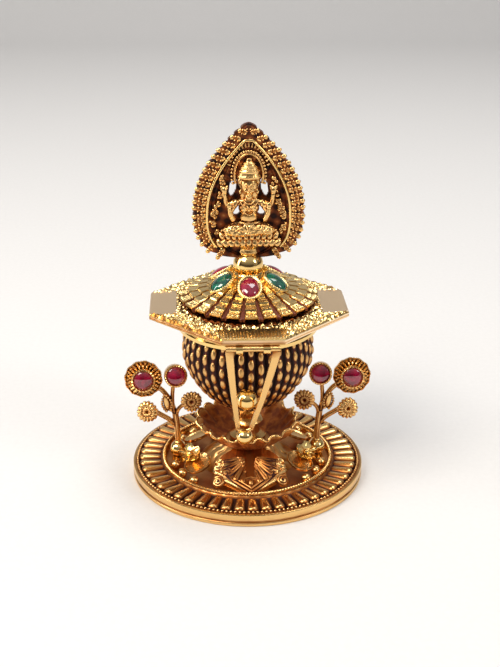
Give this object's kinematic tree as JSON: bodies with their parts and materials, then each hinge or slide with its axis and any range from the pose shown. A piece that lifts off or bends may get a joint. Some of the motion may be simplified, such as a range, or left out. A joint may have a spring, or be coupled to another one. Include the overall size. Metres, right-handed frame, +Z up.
{
  "type": "lidded trinket box",
  "caption": "Small footed sindoor box in antique gold metal with a hinged eight-sided lid, stone-set sun disc, drop-shaped figure plaque, swinging hasp and flower sprays",
  "frame": {"origin": "centre of the base's underside, at the bottom of the bounding box", "axes": "+Z up through the plaque's tip, the latch faces -Y, +X to the right of a viewer at the front"},
  "size_m": [0.0474, 0.045, 0.0689],
  "materials": {
    "antique_gold": "cast brass, gold plated, recesses darkened red-brown, satin highs",
    "polished_gold": "brass, gold plated and polished",
    "satin_gold": "brass sheet, gold plated, satin with nugget texture",
    "ruby_stone": "deep pink-red cabochon, polished",
    "green_stone": "deep green cabochon, polished"
  },
  "bodies": {
    "stand": {"base_plate": "antique_gold", "rope_ring": "polished_gold", "base_grains": "polished_gold", "mound": "antique_gold", "palmette_front": "antique_gold", "palmette_back": "antique_gold", "round_petals": "antique_gold", "ruffled_cup": "antique_gold", "bowl": "antique_gold", "neck": "antique_gold", "collar": "satin_gold", "hinge_knuckle_fixed": "polished_gold", "hinge_pin": "polished_gold", "catch_knob": "polished_gold", "spray_foot_left": "polished_gold", "spray_foot_right": "polished_gold", "spray_stems_left": "antique_gold", "spray_stems_right": "antique_gold", "big_flower_left": "antique_gold", "big_flower_right": "antique_gold", "big_ruby_left": "ruby_stone", "big_ruby_right": "ruby_stone", "tube_setting_left": "antique_gold", "tube_setting_right": "antique_gold", "tube_ruby_left": "ruby_stone", "tube_ruby_right": "ruby_stone", "inner_flower_left": "antique_gold", "inner_flower_right": "antique_gold", "outer_flower_left": "antique_gold", "outer_flower_right": "antique_gold", "bead_leaf_left": "antique_gold", "bead_leaf_right": "antique_gold", "shell_blossom_left": "antique_gold", "shell_blossom_right": "antique_gold"},
    "lid": {"hinge_knuckles_lid": "polished_gold", "lid_plate": "satin_gold", "under_disc": "antique_gold", "sun_disc": "antique_gold", "finial_hub": "antique_gold", "finial_ball": "polished_gold", "stone_collets": "antique_gold", "ruby_stones": "ruby_stone", "green_stones": "green_stone", "plaque": "antique_gold", "keel_wire": "polished_gold", "lotus_seat": "antique_gold", "seated_figure": "antique_gold", "halo_arch": "antique_gold", "hasp_lugs": "polished_gold"},
    "hasp": {"hasp_frame": "polished_gold", "hasp_ball": "polished_gold"}
  },
  "joints": [
    {"name": "lid_hinge", "type": "hinge", "parent": "stand", "child": "lid", "pos_m": [0, 0.0194, 0.0338], "axis": [-1, 0, 0], "range_deg": [0, 100]},
    {"name": "hasp_hinge", "type": "hinge", "parent": "lid", "child": "hasp", "pos_m": [0, -0.01835, 0.03325], "axis": [-1, 0, 0], "range_deg": [0, 120]}
  ]
}
